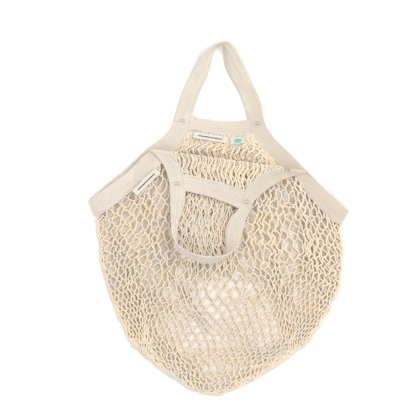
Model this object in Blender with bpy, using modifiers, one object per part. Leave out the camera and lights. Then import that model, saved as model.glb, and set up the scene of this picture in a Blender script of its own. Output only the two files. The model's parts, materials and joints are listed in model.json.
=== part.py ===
"""A cotton net bag with short tape handles, lying flat with the front of its mouth folded down.

The floor is z = 0, the bag's mouth is towards +Y and its front faces +Z. The origin is the middle of the
footprint. The net and the tapes are sheets between two edge lines, thickened with Solidify.
"""
import bpy
import bmesh
from mathutils import Vector

MM = 0.001

TAPE = 2.0 * MM            # thickness of the doubled edging tape
NET = 1.4 * MM             # thickness that the net stands for
LABEL = 0.6 * MM
GAP = 0.3 * MM             # clearance between neighbouring pieces
HALF_GAP = GAP / 2
CORD_RADIUS = 1.3 * MM
THREAD_RADIUS = 0.4 * MM
TACK_SIZE = (7.0 * MM, 1.8 * MM, 0.8 * MM)

FOLD_HEIGHT = 12.0 * MM    # height of the line that the front of the mouth folds about
FOLD_LEFT = Vector((-83.4 * MM, 81.0 * MM, FOLD_HEIGHT))
FOLD_RIGHT = Vector((102.6 * MM, 54.6 * MM, FOLD_HEIGHT))
BACK_TAPE = TAPE / 2                              # mid heights of the layers
BACK_NET = GAP + NET / 2
UNDER_FOLD = FOLD_HEIGHT - HALF_GAP - TAPE / 2
OVER_FOLD = FOLD_HEIGHT + HALF_GAP + TAPE / 2
FLAP_NET = FOLD_HEIGHT + HALF_GAP + NET / 2
FRONT_NET = 11.0 * MM                             # highest mid height of the front layer
BACK_LABEL = BACK_NET + NET / 2 + GAP + LABEL / 2
SIDE_LABEL = FOLD_HEIGHT + GAP + LABEL / 2

ARC_STEPS = 4              # sheet columns between two sections of a tape
NET_STEPS = 3
NET_COLUMNS = 16


# ---------------------------------------------------------------- scene

def clear_scene():
    for item in list(bpy.data.objects):
        bpy.data.objects.remove(item, do_unlink=True)


def make_material(name, colour, roughness):
    material = bpy.data.materials.new(name)
    material.use_nodes = True
    shader = material.node_tree.nodes["Principled BSDF"]
    shader.inputs["Base Color"].default_value = (*colour, 1.0)
    shader.inputs["Roughness"].default_value = roughness
    shader.inputs["Metallic"].default_value = 0.0
    return material


# ---------------------------------------------------------------- lines and sheets

def mm(x, y, z):
    """A point from millimetres in plan and a height that is already in metres."""
    return Vector((x * MM, y * MM, z))


def line_point(points, t):
    """A point on the smooth line through the given points, t from 0 to 1, with no dip or hump in height."""
    place = min(max(t, 0.0), 1.0) * (len(points) - 1)
    first = min(int(place), len(points) - 2)
    u = place - first
    b = points[first]
    c = points[first + 1]
    a = points[first - 1] if first > 0 else 2 * b - c
    d = points[first + 2] if first + 2 < len(points) else 2 * c - b
    point = (b + (c - a) * (0.5 * u)
             + (2 * a - 5 * b + 4 * c - d) * (0.5 * u * u)
             + (3 * b - a - 3 * c + d) * (0.5 * u ** 3))
    point.z = min(max(point.z, min(b.z, c.z)), max(b.z, c.z))
    return point


def ribbon_point(sections, along, across):
    """A point on the surface between the first and second line of the sections."""
    start = line_point([pair[0] for pair in sections], along)
    end = line_point([pair[1] for pair in sections], along)
    return start.lerp(end, across)


def ribbon_normal(sections, along, across):
    """The surface's direction there, on the side that faces up where the ribbon lies flat."""
    step = 0.01
    run = ribbon_point(sections, along + step, across) - ribbon_point(sections, along - step, across)
    width = ribbon_point(sections, along, 1.0) - ribbon_point(sections, along, 0.0)
    return width.cross(run).normalized()


def add_object(name, mesh, owner, material):
    piece = bpy.data.objects.new(name, mesh)
    PARTS.objects.link(piece)
    piece.data.materials.append(material)
    if owner is not None:
        piece.parent = owner
        piece.matrix_parent_inverse = owner.matrix_world.inverted()
    return piece


def add_sheet(name, place, steps, thickness, owner, material):
    """A grid bent into shape by place(along, across) and thickened evenly to both sides."""
    along_steps, across_steps = steps
    mesh = bpy.data.meshes.new(name)
    form = bmesh.new()
    bmesh.ops.create_grid(form, x_segments=along_steps, y_segments=across_steps, size=0.5)
    for vertex in form.verts:
        vertex.co = place(vertex.co.x + 0.5, vertex.co.y + 0.5)
    form.to_mesh(mesh)
    form.free()
    piece = add_object(name, mesh, owner, material)
    solidify = piece.modifiers.new("thickness", "SOLIDIFY")
    solidify.thickness = thickness
    solidify.offset = 0.0
    mesh.shade_smooth()
    mesh.set_sharp_from_angle(angle=0.7)
    return piece


def add_tape(name, sections, owner=None):
    steps = (ARC_STEPS * (len(sections) - 1), 2)
    return add_sheet(name, lambda s, t: ribbon_point(sections, s, t), steps, TAPE, owner, COTTON_TAPE)


def add_panel(name, sections, crown_height, top_sag):
    """A layer of the net: rows between its two side lines, with a round bottom and a raised middle."""
    def place(s, t):
        point = ribbon_point(sections, s, t)
        point.y -= bow(t) * (BOTTOM_SAG * max(0.0, 1 - s * 3) + top_sag * s ** 6)
        rise = min(1.0, s * 5)
        point.z += (1 - (2 * t - 1) ** 4) * rise * (2 - rise) * max(0.0, crown_height - point.z)
        return point

    steps = (NET_STEPS * (len(sections) - 1), NET_COLUMNS)
    return add_sheet(name, place, steps, NET, None, COTTON_NET)


def bow(t):
    """0 at both ends and 1 in the middle."""
    return 1 - (2 * t - 1) ** 2


def add_thread(name, points, radius, owner, material):
    curve = bpy.data.curves.new(name, "CURVE")
    curve.dimensions = "3D"
    curve.bevel_depth = radius
    curve.bevel_resolution = 1
    curve.use_fill_caps = True
    spline = curve.splines.new("POLY")
    spline.points.add(len(points) - 1)
    for slot, point in zip(spline.points, points):
        slot.co = (*point, 1.0)
    return add_object(name, curve, owner, material)


def add_seam(name, sections, across, span, count, face=1, owner=None):
    """A line of stitching on one face of a tape, at a fraction of its width."""
    lift = face * (TAPE / 2 + GAP + THREAD_RADIUS)
    points = []
    for index in range(count + 1):
        along = span[0] + (span[1] - span[0]) * index / count
        points.append(ribbon_point(sections, along, across) + ribbon_normal(sections, along, across) * lift)
    return add_thread(name, points, THREAD_RADIUS, owner, THREAD)


def add_tack(name, x, y, surface, turn, owner=None):
    """A bar tack, a short bar of dense stitches across the tape."""
    mesh = bpy.data.meshes.new(name)
    form = bmesh.new()
    bmesh.ops.create_cube(form, size=1.0)
    bmesh.ops.scale(form, vec=TACK_SIZE, verts=form.verts)
    form.to_mesh(mesh)
    form.free()
    piece = add_object(name, mesh, None, THREAD)
    piece.location = mm(x, y, surface + GAP + TACK_SIZE[2] / 2)
    piece.rotation_euler.z = turn
    if owner is not None:
        bpy.context.view_layer.update()
        piece.parent = owner
        piece.matrix_parent_inverse = owner.matrix_world.inverted()
    return piece


def add_label(name, corners, height, owner, material):
    """A flat woven label; its first two corners are the sewn edge."""
    sections = [(mm(*corners[0], height), mm(*corners[3], height)),
                (mm(*corners[1], height), mm(*corners[2], height))]
    return add_sheet(name, lambda s, t: ribbon_point(sections, s, t), (4, 2), LABEL, owner, material)


def add_pivot(name, start, end):
    """An empty on a joint's axis, with its X along the axis."""
    pivot = bpy.data.objects.new(name, None)
    PARTS.objects.link(pivot)
    pivot.empty_display_size = 10 * MM
    pivot.location = (start + end) / 2
    pivot.rotation_euler = (end - start).to_track_quat("X", "Z").to_euler()
    bpy.context.view_layer.update()
    return pivot


# ---------------------------------------------------------------- outlines, millimetres in plan

def fold_y(x):
    """Where the fold line is at x, in millimetres."""
    slope = (FOLD_RIGHT.y - FOLD_LEFT.y) / (FOLD_RIGHT.x - FOLD_LEFT.x)
    return (FOLD_LEFT.y / MM) + slope * (x - FOLD_LEFT.x / MM) - HALF_GAP / MM


LEFT_SIDE = [(-109, -147), (-123, -117), (-138, -75), (-144.5, -30), (-143, -1)]
RIGHT_SIDE = [(101, -150), (120, -124), (140, -84), (144.5, -44), (141.5, -11)]
BOTTOM_SAG = 60 * MM       # how far the net's bottom hangs below a straight line
BAND_SAG = 3.6 * MM        # how far the back band's lower edge hangs below one
CORD_OFFSET = CORD_RADIUS + 2.0 * MM      # from the panels' rims to the middle of the seam cord


def build_net():
    def panel(left, right, heights):
        return [(mm(*a, z * MM), mm(*b, z * MM)) for a, b, z in zip(left, right, heights)]

    back_left = LEFT_SIDE + [(-119, 18), (-103, 31), (-73, 56), (-44.5, 84), (-33.4, 103.6)]
    back_right = RIGHT_SIDE + [(125, 2), (109, 21), (88, 43), (61.5, 67), (38.2, 97.2)]
    back = panel(back_left, back_right, [BACK_NET / MM] * len(back_left))
    add_panel("net_back_panel", back, 0.0, BAND_SAG)

    front_left = LEFT_SIDE + [(-119, 18), (-103, 31), (-73, 59), (-56.6, fold_y(-56.6))]
    front_right = RIGHT_SIDE + [(125, 2), (109, 21), (97, 37), (85, fold_y(85))]
    front = panel(front_left, front_right, [3.4, 3.4, 3.6, 4.0, 5.6, 7.8, 9.0, 10.4, 11.0])
    add_panel("net_front_panel", front, FRONT_NET, 0.0)


def build_edge_cord():
    """The seam cord, from the left corner round the bottom to the right corner."""
    left = [mm(x, y, CORD_RADIUS + GAP) for x, y in LEFT_SIDE]
    right = [mm(x, y, CORD_RADIUS + GAP) for x, y in RIGHT_SIDE]
    line = [line_point(left, 1 - index / 12) for index in range(12)]
    for index in range(25):
        point = left[0].lerp(right[0], index / 24)
        point.y -= BOTTOM_SAG * bow(index / 24)
        line.append(point)
    line += [line_point(right, (index + 1) / 12) for index in range(12)]
    moved = []
    for index, point in enumerate(line):
        run = line[min(index + 1, len(line) - 1)] - line[max(index - 1, 0)]
        moved.append(point + Vector((-run.y, run.x, 0)).normalized() * -CORD_OFFSET)
    add_thread("net_edge_cord", moved, CORD_RADIUS, None, COTTON_NET)


# Each tape is a list of sections: the outer edge and the inner edge, as x, y and mid height in millimetres.

B = BACK_TAPE / MM
U = UNDER_FOLD / MM
F = OVER_FOLD / MM


def tape_sections(rows):
    return [(mm(a[0], a[1], a[2] * MM), mm(b[0], b[1], b[2] * MM)) for a, b in rows]


BACK_HINGE_LEFT = (-52.8, 124.2)
BACK_HINGE_RIGHT = (53.7, 120.0)
FRONT_HINGE_LEFT = (-59.0, 36.0)
FRONT_HINGE_RIGHT = (36.5, 7.0)


def on_line(start, end, x, side):
    """The y at x on a line in plan, moved by half a gap to one side."""
    slope = (end[1] - start[1]) / (end[0] - start[0])
    return start[1] + slope * (x - start[0]) + side * HALF_GAP / MM


def back_hinge_y(x, side):
    return on_line(BACK_HINGE_LEFT, BACK_HINGE_RIGHT, x, side)


def front_hinge_y(x, side):
    return on_line(FRONT_HINGE_LEFT, FRONT_HINGE_RIGHT, x, side)


def left_binding_sections():
    """Back layer from the back handle to the corner, the turn, and the front layer up to the fold."""
    return tape_sections([
        ((-52.8, back_hinge_y(-52.8, -1), B), (-32.2, back_hinge_y(-32.2, -1), B)),
        ((-57.5, 109.0, B), (-35.2, 103.0, B)),
        ((-67.0, 97.5, B), (-46.5, 86.0, B)),
        ((-83.0, 83.0, B), (-63.0, 67.0, B)),
        ((-110.0, 57.0, B), (-98.0, 37.0, B)),
        ((-133.0, 39.0, B), (-124.0, 17.5, B)),
        ((-149.0, 28.0, B), (-140.0, 6.0, B)),
        ((-155.0, 22.5, 3.6), (-146.5, 1.5, 3.6)),
        ((-149.0, 26.5, 6.2), (-140.0, 5.0, 6.2)),
        ((-133.0, 37.5, 7.4), (-124.0, 16.0, 7.4)),
        ((-109.0, 55.5, 9.0), (-97.5, 37.5, 9.0)),
        ((-92.5, 72.0, U), (-73.0, 61.0, U)),
        ((-83.2, fold_y(-83.2), U), (-57.5, fold_y(-57.5), U)),
    ])


def right_binding_sections():
    return tape_sections([
        ((53.7, back_hinge_y(53.7, -1), B), (34.4, back_hinge_y(34.4, -1), B)),
        ((58.5, 107.0, B), (39.0, 99.0, B)),
        ((68.5, 93.5, B), (50.5, 84.5, B)),
        ((84.0, 79.0, B), (67.0, 67.0, B)),
        ((107.5, 54.5, B), (91.0, 43.0, B)),
        ((123.5, 38.0, B), (111.0, 22.0, B)),
        ((149.0, 15.0, B), (137.0, -4.0, B)),
        ((156.5, 8.5, 3.6), (145.5, -9.5, 3.6)),
        ((149.0, 14.0, 6.2), (137.0, -4.5, 6.2)),
        ((137.5, 23.0, 7.4), (126.5, 4.8, 7.4)),
        ((121.5, 38.0, 9.0), (110.5, 22.5, 9.0)),
        ((110.5, 47.5, U), (97.5, 39.5, U)),
        ((103.0, fold_y(103.0), U), (86.0, fold_y(86.0), U)),
    ])


def back_handle_sections():
    """The back handle's loop. The tape lies flat on both legs and stands on its edge at the top."""
    return tape_sections([
        ((-52.8, back_hinge_y(-52.8, 1), B), (-32.2, back_hinge_y(-32.2, 1), B)),
        ((-47.4, 140.5, B), (-26.5, 141.5, B)),
        ((-41.5, 157.5, 1.4), (-19.8, 157.8, B)),
        ((-32.5, 174.0, 3.2), (-12.8, 173.4, B)),
        ((-21.5, 191.5, 9.5), (-9.0, 188.5, B)),
        ((-10.5, 204.0, 18.0), (-6.0, 201.0, 1.4)),
        ((4.0, 212.0, 20.5), (2.5, 209.0, 1.6)),
        ((15.5, 208.0, 17.0), (5.5, 199.5, 1.2)),
        ((26.0, 190.5, 8.0), (7.0, 184.0, B)),
        ((35.0, 172.5, 3.5), (13.8, 168.5, B)),
        ((44.5, 152.5, 1.4), (24.0, 150.0, B)),
        ((51.0, 137.4, B), (31.0, 134.0, B)),
        ((53.7, back_hinge_y(53.7, 1), B), (34.4, back_hinge_y(34.4, 1), B)),
    ])


def front_handle_sections():
    """The front handle's loop, folded down over the front of the bag."""
    return tape_sections([
        ((-59.0, front_hinge_y(-59.0, -1), F), (-40.0, front_hinge_y(-40.0, -1), F)),
        ((-58.3, 14.0, F + 0.3), (-42.6, 11.0, F)),
        ((-57.5, -5.0, F + 4.0), (-47.6, -5.5, F)),
        ((-55.0, -22.0, F + 11.0), (-50.0, -21.0, F)),
        ((-46.5, -36.0, F + 16.5), (-45.5, -37.0, F)),
        ((-31.0, -43.5, F + 18.5), (-31.0, -46.5, F)),
        ((-10.0, -46.5, F + 18.5), (-9.0, -51.5, F)),
        ((11.0, -44.5, F + 17.0), (6.5, -48.0, F)),
        ((24.5, -33.0, F + 9.0), (8.0, -34.0, F)),
        ((28.2, -17.0, F + 3.0), (7.2, -17.0, F)),
        ((32.0, -4.0, F), (14.0, 0.0, F)),
        ((36.5, front_hinge_y(36.5, -1), F), (22.8, front_hinge_y(22.8, -1), F)),
    ])


def left_shoulder_sections():
    return tape_sections([
        ((-59.0, front_hinge_y(-59.0, 1), F), (-40.0, front_hinge_y(-40.0, 1), F)),
        ((-60.5, 47.0, F), (-41.2, 51.0, F)),
        ((-66.0, 61.5, F), (-46.6, 62.0, F)),
        ((-83.2, fold_y(-83.2), F), (-57.5, fold_y(-57.5), F)),
    ])


def right_shoulder_sections():
    return tape_sections([
        ((36.5, front_hinge_y(36.5, 1), F), (22.8, front_hinge_y(22.8, 1), F)),
        ((43.8, 21.0, F), (31.0, 33.5, F)),
        ((59.4, 34.5, F), (46.0, 48.0, F)),
        ((78.0, 46.0, F), (62.0, 56.0, F)),
        ((103.0, fold_y(103.0), F), (84.5, fold_y(84.5), F)),
    ])


def back_band_sections():
    return tape_sections([
        ((-31.0, 121.2, B), (-33.8, 105.2, B)),
        ((-15.0, 118.2, B), (-12.0, 101.6, B)),
        ((10.0, 115.4, B), (11.0, 98.2, B)),
        ((33.6, 117.2, B), (38.4, 99.2, B)),
    ])


def front_band_sections():
    return tape_sections([
        ((-40.6, 51.4, F), (-39.2, 31.6, F)),
        ((-22.0, 47.6, F), (-18.0, 27.0, F)),
        ((3.0, 41.0, F), (2.5, 20.5, F)),
        ((29.6, 33.0, F), (22.0, 12.6, F)),
    ])


BAND_RISE = 1.6 * MM       # how far the front band's upper edge stands above a straight line


def pivot_line(left, right, height, side_height):
    """A hinge line on the upper face of a tape."""
    z = height + TAPE / 2 + side_height
    return mm(*left, z), mm(*right, z)


def build_root_tapes():
    left = left_binding_sections()
    right = right_binding_sections()
    band = back_band_sections()
    add_tape("left_side_binding", left)
    add_tape("right_side_binding", right)
    add_tape("back_mouth_band", band)
    add_seam("left_binding_stitch", left, 0.86, (0.70, 0.93), 16)
    add_seam("right_binding_stitch", right, 0.86, (0.70, 0.93), 16, face=-1)
    add_seam("back_band_stitch", band, 0.86, (0.03, 0.97), 16)
    add_tack("back_left_tack", -44.0, 117.0, TAPE, -0.2)
    add_tack("back_right_tack", 46.5, 113.5, TAPE, 0.2)


def build_flap(owner):
    left = left_shoulder_sections()
    right = right_shoulder_sections()
    band = front_band_sections()
    add_tape("front_left_shoulder", left, owner)
    add_tape("front_right_shoulder", right, owner)
    add_tape("front_mouth_band", band, owner)
    add_seam("front_band_stitch", band, 0.14, (0.03, 0.97), 16, owner=owner)
    add_seam("front_left_shoulder_stitch", left, 0.86, (0.16, 0.94), 10, owner=owner)
    add_seam("front_right_shoulder_stitch", right, 0.14, (0.16, 0.94), 12, face=-1, owner=owner)
    add_tack("front_left_tack", -50.0, 40.5, OVER_FOLD + TAPE / 2, -0.3, owner)
    add_tack("front_right_tack", 33.5, 18.5, OVER_FOLD + TAPE / 2, -0.3, owner)

    sides = [((-40.4, 52.4), (30.0, 34.8)), ((-43.0, 57.4), (44.4, 49.8)),
             ((-46.2, 63.4), (60.6, 57.4)), ((-56.6, fold_y(-56.6)), (83.0, fold_y(83.0)))]
    sections = [(mm(*a, FLAP_NET), mm(*b, FLAP_NET)) for a, b in sides]

    def place(s, t):
        point = ribbon_point(sections, s, t)
        point.y += BAND_RISE * bow(t) * (1 - s)
        return point

    add_sheet("net_front_flap", place, (6, 8), NET, owner, COTTON_NET)


def build_handle(name, sections, face, owner):
    add_tape(name, sections, owner)
    add_seam(name + "_stitch", sections, 0.86, (0.02, 0.98), 48, face, owner)


def build_labels(woven_owner, tag_owner, side_owner):
    add_label("woven_label", WOVEN_CORNERS, BACK_LABEL, woven_owner, LABEL_CLOTH)
    add_label("care_tag", TAG_CORNERS, BACK_LABEL, tag_owner, TAG_CLOTH)
    add_label("side_label", SIDE_CORNERS, SIDE_LABEL, side_owner, LABEL_CLOTH)


WOVEN_CORNERS = [(-30.0, 103.6), (10.3, 96.8), (9.4, 89.4), (-31.4, 95.6)]
TAG_CORNERS = [(13.6, 96.6), (32.0, 97.2), (30.0, 89.4), (13.4, 87.2)]
SIDE_CORNERS = [(-103.5, 33.0), (-77.5, 57.0), (-70.5, 51.0), (-97.0, 26.2)]

clear_scene()
PARTS = bpy.data.collections.new("mesh_produce_bag")
bpy.context.scene.collection.children.link(PARTS)
COTTON_TAPE = make_material("cotton_tape", (0.83, 0.75, 0.64), 0.9)
COTTON_NET = make_material("cotton_net", (0.80, 0.71, 0.58), 0.92)
THREAD = make_material("cotton_thread", (0.86, 0.80, 0.70), 0.85)
LABEL_CLOTH = make_material("label_cloth", (0.86, 0.83, 0.72), 0.8)
TAG_CLOTH = make_material("tag_cloth", (0.90, 0.90, 0.92), 0.7)

build_net()
build_edge_cord()
build_root_tapes()

flap_pivot = add_pivot("flap_pivot", FOLD_LEFT, FOLD_RIGHT)
build_flap(flap_pivot)
back_pivot = add_pivot("back_handle_pivot", *pivot_line(BACK_HINGE_LEFT, BACK_HINGE_RIGHT, BACK_TAPE, HALF_GAP))
front_pivot = add_pivot("front_handle_pivot", *pivot_line(FRONT_HINGE_LEFT, FRONT_HINGE_RIGHT, OVER_FOLD, HALF_GAP))
front_pivot.parent = flap_pivot
front_pivot.matrix_parent_inverse = flap_pivot.matrix_world.inverted()
bpy.context.view_layer.update()
build_handle("back_handle", back_handle_sections(), 1, back_pivot)
build_handle("front_handle", front_handle_sections(), -1, front_pivot)


def label_pivot(name, corners, height):
    z = height + LABEL / 2 + HALF_GAP
    return add_pivot(name, mm(*corners[0], z), mm(*corners[1], z))


build_labels(label_pivot("woven_label_pivot", WOVEN_CORNERS, BACK_LABEL),
             label_pivot("care_tag_pivot", TAG_CORNERS, BACK_LABEL),
             label_pivot("side_label_pivot", SIDE_CORNERS, SIDE_LABEL))
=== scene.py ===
"""The looks of a cotton net bag that lies flat with the front of its mouth folded down.

Each layer of the net is a knotted lattice of yarn, relaxed until its slack legs curl, then swept into tubes.
The edging is one long knitted tape, cut into four pieces.
"""
import json
import math

import bmesh
import bpy
import numpy as np
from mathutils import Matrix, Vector


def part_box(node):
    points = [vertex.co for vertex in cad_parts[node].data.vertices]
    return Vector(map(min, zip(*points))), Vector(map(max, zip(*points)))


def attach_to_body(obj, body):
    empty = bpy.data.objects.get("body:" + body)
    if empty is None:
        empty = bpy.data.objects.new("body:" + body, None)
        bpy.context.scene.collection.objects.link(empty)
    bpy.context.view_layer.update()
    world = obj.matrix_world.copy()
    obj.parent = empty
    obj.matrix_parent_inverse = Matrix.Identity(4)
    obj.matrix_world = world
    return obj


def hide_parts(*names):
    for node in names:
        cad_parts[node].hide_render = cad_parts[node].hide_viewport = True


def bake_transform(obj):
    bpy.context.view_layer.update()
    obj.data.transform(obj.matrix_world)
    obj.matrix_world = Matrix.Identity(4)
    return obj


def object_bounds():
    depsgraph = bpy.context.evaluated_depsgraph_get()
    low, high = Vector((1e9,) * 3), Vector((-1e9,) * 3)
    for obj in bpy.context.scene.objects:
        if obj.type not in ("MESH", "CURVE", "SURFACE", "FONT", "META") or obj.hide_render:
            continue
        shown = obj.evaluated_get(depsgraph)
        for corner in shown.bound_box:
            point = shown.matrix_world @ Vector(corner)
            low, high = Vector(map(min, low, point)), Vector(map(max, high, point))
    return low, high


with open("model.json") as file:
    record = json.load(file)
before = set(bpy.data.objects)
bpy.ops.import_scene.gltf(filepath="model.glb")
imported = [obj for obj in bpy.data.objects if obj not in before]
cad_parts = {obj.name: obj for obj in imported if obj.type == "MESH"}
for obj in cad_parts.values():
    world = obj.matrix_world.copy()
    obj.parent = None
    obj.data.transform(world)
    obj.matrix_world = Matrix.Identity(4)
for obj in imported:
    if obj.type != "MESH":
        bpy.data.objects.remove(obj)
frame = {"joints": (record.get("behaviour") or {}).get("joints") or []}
CAD_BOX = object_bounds()
JOINTS = {joint["name"]: joint for joint in frame["joints"]}

MM = 0.001
TURN = 2 * math.pi
FLOOR_GAP = 0.1 * MM
TUBE_SIDES = 6
NOISE_WAVES = 7

# The tape and its sewing.
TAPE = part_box("back_mouth_band")[1].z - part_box("back_mouth_band")[0].z  # its thickness
TAPE_COLUMNS = 28  # quads across each face of a tape
TAPE_ROW = 1.1 * MM  # between the rows of a tape's mesh
TAPE_WAVE, TAPE_WAVE_SIZE = 0.45 * MM, 26 * MM  # of its surface, up and down
TAPE_SWAY, TAPE_SWAY_SIZE = 0.10 * MM, 60 * MM  # of the whole tape, up and down
TAPE_PULL, TAPE_PULL_SIZE = 0.02, 18 * MM  # of its two edges, as a share of its width
TAPE_RIM, TAPE_BODY = 0.30, 0.92  # its thickness at the edges and in the middle, as shares of TAPE
CALM = 8 * MM  # its waves fade out over this length at both ends
RIDGE_PITCH = 5.0 * MM
GROOVE = 3.3 * MM  # between the shallow lengthwise grooves of the tape
APART = 0.05  # keeps v above zero, and the noise of a tape's two edges apart
THREAD = 0.28 * MM  # radius of the sewing thread
STITCH = 3.2 * MM  # from one stitch to the next
STITCH_PLACES = np.array([0.0, 0.2, 0.45, 0.65])
STITCH_LIFTS = np.array([-0.2, 0.2, 0.2, -0.2]) * MM
TACK_TURNS = 13
LABEL_COLUMNS, LABEL_ROWS = 36, 14
LABEL_THICKNESS = 0.6 * MM
LABEL_LIFT = 0.9 * MM  # the labels' slack above the yarns under them

# The fold of the mouth.
FOLD = np.array(JOINTS["front_flap_fold"]["pos_m"])
FOLD_AXIS = -np.array(JOINTS["front_flap_fold"]["axis"])
FOLD_CLEAR = 0.18 * MM  # least distance from the fold's height to either run of a folded tape
LOOP_BACK = 3.0  # how far the net's last knots lie behind the fold's axis, millimetres

# The net.
YARN = 0.92 * MM  # radius of the plied yarn
YARN_TWIST = 3.2 * MM  # length of one turn of the yarn's two plies
LEG = 5.6 * MM  # least length of yarn between two knots where the net is loose
LEG_POINTS = 12
KNOT_SWELL, KNOT_REACH = 0.38, 0.10  # how much thicker a leg is at a knot, and over what share of it
LEG_LIFT, POINT_LIFT = 0.7 * MM, 0.35 * MM  # scatter in height of whole legs and of their points
CURL_TURNS, CURL_SIZE = (0.8, 1.6), (0.05, 0.35)  # least and most turns, and radius in millimetres
SOFTENING = 3  # rounds of smoothing along every leg
RELAX_ROUNDS = 300
EASE = 1.6  # above 1, the net settles in fewer rounds
STIFFNESS = 0.30  # how strongly the yarn resists a sharp bend
BEND_LENGTH = 0.40  # least distance between every second point, as a share of a leg
HOLD = 0.006  # how strongly every knot is drawn back to its first place
NET_ROWS = 31
FOLD_COLUMNS = (9, 20, 9)  # the net's columns to the left of the fold, along it and to its right
CROWDING = 1.10  # above 1, rows lie closer at the base than at the mouth
BASE_POINTS = 31
BASE_TURN = 4  # how many of the base's points belong to each side
BOTTOM_SAG = 60.0  # millimetres
BOTTOM_AT = 0.46  # the lowest point, as a share of the way across
BOTTOM_POINT = 1.5  # 2 is a round bottom, 1 a pointed one
RIM_GAP = 2.4  # how far the net runs out past its panels, to the edge cord, millimetres
DRIFT_SEED = 101  # both layers drift together
DRIFTS = ((75, 4.0, 0), (26, 1.2, 2))  # wave length and reach in millimetres, and a step of the seed
SCATTER = 0.6 * MM
WANDER_SIZE, RELIEF_SIZE = 30 * MM, 34 * MM
EXCESS = (0.03, 0.14)  # least and most slack of a leg where the net is loose
RIPPLE, RIPPLE_PITCH = 1.4 * MM, 14 * MM
COMB_POINTS = 44
PAIR_PITCH = 7.5 * MM  # along the yarns of a comb, from one pinch to the next


# ------ numbers and lines

def smooth_noise(points, size, seed):
    """Smooth noise, mostly from -1 to 1, from a few plane waves; size is about the length of a wave."""
    rng = np.random.default_rng(seed)
    total = np.zeros(len(points))
    for _ in range(NOISE_WAVES):
        angle = rng.uniform(0, TURN)
        pitch = size * rng.uniform(0.7, 1.5)
        phase = rng.uniform(0, TURN)
        wave = (points[:, 0] * math.cos(angle) + points[:, 1] * math.sin(angle)) / pitch
        total += np.sin(TURN * wave + phase)
    return total / 4


def spline(points, t):
    """The smooth line through points, or through each of a stack of lines, at each t from 0 to 1."""
    points = np.asarray(points, float)
    segments = points.shape[-2] - 1
    place = np.clip(t, 0, 1) * segments
    first = np.minimum(place.astype(int), segments - 1)
    u = (place - first)[:, None]
    before = 2 * points[..., :1, :] - points[..., 1:2, :]
    after = 2 * points[..., -1:, :] - points[..., -2:-1, :]
    padded = np.concatenate([before, points, after], axis=-2)
    a, b, c, d = (padded[..., first + k, :] for k in range(4))
    return (b + (c - a) * 0.5 * u + (2 * a - 5 * b + 4 * c - d) * 0.5 * u ** 2
            + (3 * b - a - 3 * c + d) * 0.5 * u ** 3)


def distances(points):
    """How far along a line each of its points is."""
    return np.concatenate([[0], np.cumsum(np.linalg.norm(np.diff(points, axis=0), axis=1))])


def by_length(points, fractions, dense=40):
    """Points on the smooth line at fractions of its length."""
    line = spline(points, np.linspace(0, 1, dense * len(points)))
    length = distances(line)
    return np.stack([np.interp(fractions, length / length[-1], column) for column in line.T], 1)


def unit(vectors):
    return vectors / np.maximum(np.linalg.norm(vectors, axis=-1, keepdims=True), 1e-12)


def fold_y(x):
    """Where the fold's axis is at x, in metres."""
    return FOLD[1] + (x - FOLD[0]) * FOLD_AXIS[1] / FOLD_AXIS[0]


def metres(points):
    return np.array(points, float) * MM


def line_of(points):
    """A function of 0 to 1 along the smooth line through points given in millimetres."""
    table = metres(points)
    return lambda t: by_length(table, t)


def joined(parts, shares):
    """A function of 0 to 1 along several lines in turn. shares is how much of 0 to 1 each part takes."""
    bounds = np.cumsum([0.0] + list(shares))
    bounds = bounds / bounds[-1]

    def line(t):
        out = np.empty((len(t), 3))
        for k, part in enumerate(parts):
            inside = (t >= bounds[k]) & (t <= bounds[k + 1] + 1e-9)
            out[inside] = part((t[inside] - bounds[k]) / (bounds[k + 1] - bounds[k]))
        return out
    return line


# ------ meshes

def add_piece(name, vertices, faces, uv, material):
    """One smooth object, with a uv for every corner of every face."""
    mesh = bpy.data.meshes.new(name)
    mesh.from_pydata(vertices.reshape(-1, 3).tolist(), [], faces)
    mesh.uv_layers.new(name="thread").data.foreach_set("uv", uv.astype(np.float32).ravel())
    mesh.materials.append(material)
    mesh.shade_smooth()
    piece = bpy.data.objects.new(name, mesh)
    bpy.context.scene.collection.objects.link(piece)
    return piece


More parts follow.
